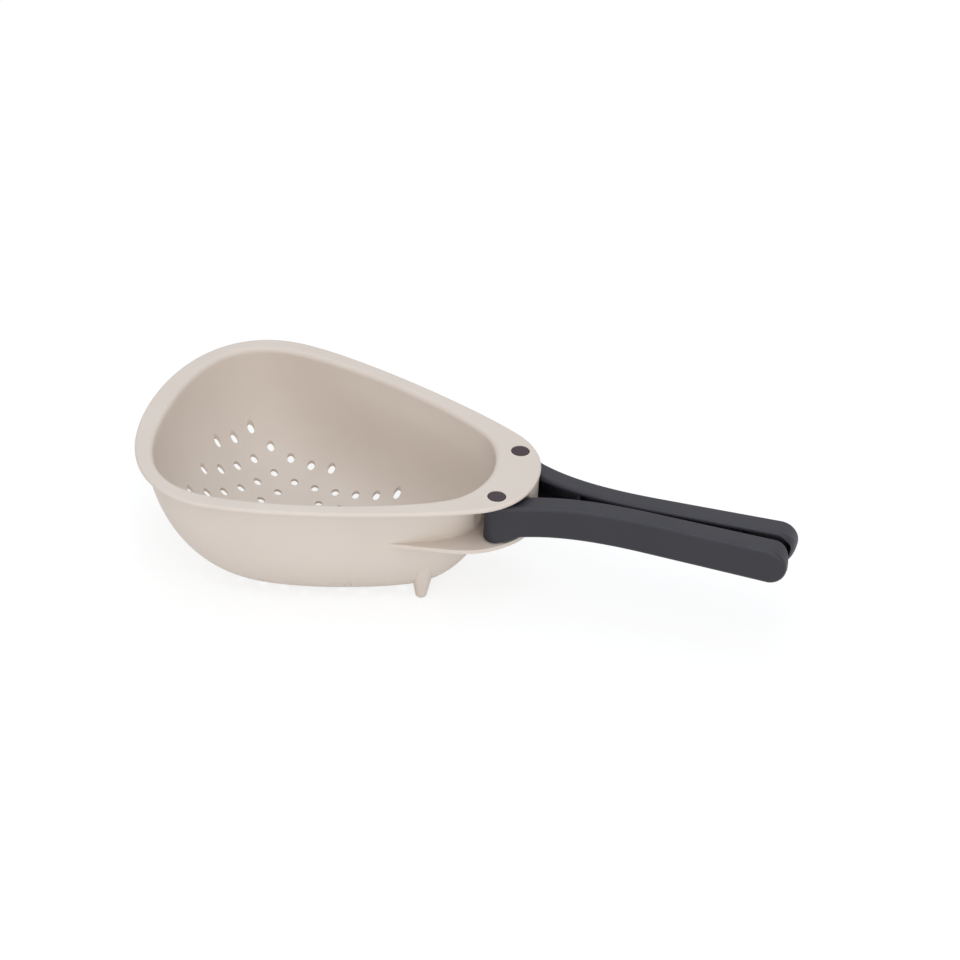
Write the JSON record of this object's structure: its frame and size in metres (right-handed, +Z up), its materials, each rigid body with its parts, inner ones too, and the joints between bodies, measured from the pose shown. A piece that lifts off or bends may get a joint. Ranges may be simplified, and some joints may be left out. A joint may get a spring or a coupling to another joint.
{
  "type": "folding-handle colander",
  "caption": "Egg-shaped plastic colander with a drained floor on short feet and twin side-by-side grip arms that swing apart and fold back along its flanks.",
  "frame": {"origin": "on the plane that the feet stand on, under the middle of the overall length and width with the handles closed", "axes": "+X from the bowl's wide back towards the handle tips, +Y to the right handle, +Z up out of the bowl's mouth"},
  "size_m": [0.3834, 0.179, 0.077],
  "materials": {
    "sand_plastic": "fine matte, moulded",
    "charcoal_plastic": "soft matte, moulded",
    "dark_pin_plastic": "satin, moulded",
    "white_nylon": "smooth nylon",
    "spring_steel": "stamped"
  },
  "bodies": {
    "colander": {"bowl": "sand_plastic", "pivot_pin_left": "dark_pin_plastic", "pivot_pin_right": "dark_pin_plastic", "friction_washer_left": "white_nylon", "friction_washer_right": "white_nylon", "retaining_ring_left": "spring_steel", "retaining_ring_right": "spring_steel"},
    "handle_left": {"handle_left": "charcoal_plastic"},
    "handle_right": {"handle_right": "charcoal_plastic"}
  },
  "joints": [
    {"name": "handle_left_swing", "type": "hinge", "parent": "colander", "child": "handle_left", "pos_m": [0.0244, -0.0244, 0.0608], "axis": [0, 0, -1], "range_deg": [0, 158]},
    {"name": "handle_right_swing", "type": "hinge", "parent": "colander", "child": "handle_right", "pos_m": [0.0244, 0.0244, 0.0608], "axis": [0, 0, 1], "range_deg": [0, 158]}
  ]
}
